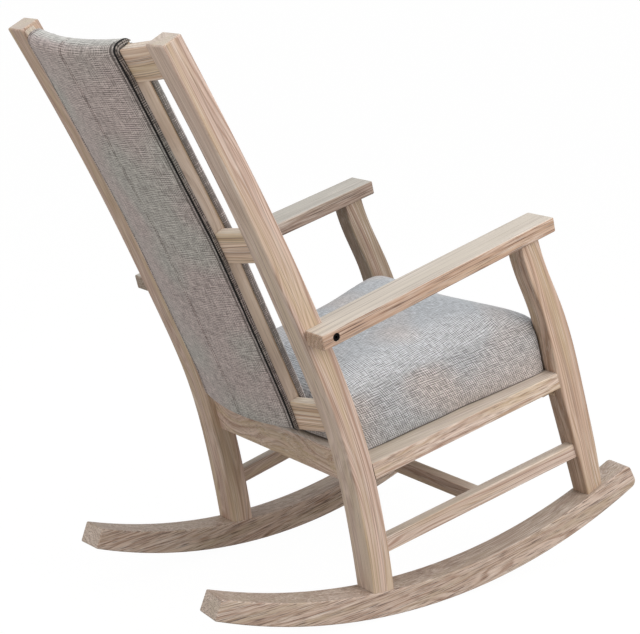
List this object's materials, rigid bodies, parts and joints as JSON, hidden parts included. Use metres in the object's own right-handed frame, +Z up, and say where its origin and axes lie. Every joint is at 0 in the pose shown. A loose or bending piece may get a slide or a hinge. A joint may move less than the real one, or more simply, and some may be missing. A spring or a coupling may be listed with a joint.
{
  "type": "rocking chair",
  "caption": "High-backed wooden rocking chair with sloping armrests, bowed back rails, an upholstered back panel and a thick box seat cushion.",
  "frame": {"origin": "middle of the chair's footprint box, on the floor that the rockers stand on", "axes": "+Z up, the sitter faces -Y, +X to the sitter's left; the chair stands at rest on its rockers"},
  "size_m": [0.576, 1.0901, 1.0384],
  "materials": {
    "washed_wood": "matte",
    "rocker_wood": "matte",
    "plywood": "matte",
    "dowel_beech": "matte",
    "grey_tweed": "matte",
    "foam": "matte",
    "black_steel": "satin",
    "zinc_steel": "satin",
    "brass": "satin"
  },
  "bodies": {
    "root": {"armrest_bolt_inserts": "brass", "armrest_bolts": "black_steel", "armrest_dowels": "dowel_beech", "armrest_left": "washed_wood", "armrest_right": "washed_wood", "back_board": "plywood", "back_front_pad": "grey_tweed", "back_lower_rail": "washed_wood", "back_middle_rail": "washed_wood", "back_rail_dowels": "dowel_beech", "back_rear_panel": "grey_tweed", "back_stile_lower_left": "washed_wood", "back_stile_lower_right": "washed_wood", "back_stile_upper_left": "washed_wood", "back_stile_upper_right": "washed_wood", "back_top_rail": "washed_wood", "corner_block_screws": "zinc_steel", "cross_stretcher": "washed_wood", "front_leg_left": "washed_wood", "front_leg_right": "washed_wood", "front_seat_rail": "washed_wood", "rear_post_left": "washed_wood", "rear_post_right": "washed_wood", "rear_seat_rail": "washed_wood", "rocker_bolt_inserts": "brass", "rocker_bolts": "black_steel", "rocker_left": "rocker_wood", "rocker_right": "rocker_wood", "seat_board": "plywood", "seat_board_screws": "zinc_steel", "seat_corner_blocks": "washed_wood", "seat_cover": "grey_tweed", "seat_foam": "foam", "seat_frame_dowels": "dowel_beech", "side_seat_rail_left": "washed_wood", "side_seat_rail_right": "washed_wood", "side_stretcher_left": "washed_wood", "side_stretcher_right": "washed_wood", "stile_dowels": "dowel_beech", "stretcher_dowels": "dowel_beech"}
  },
  "joints": []
}
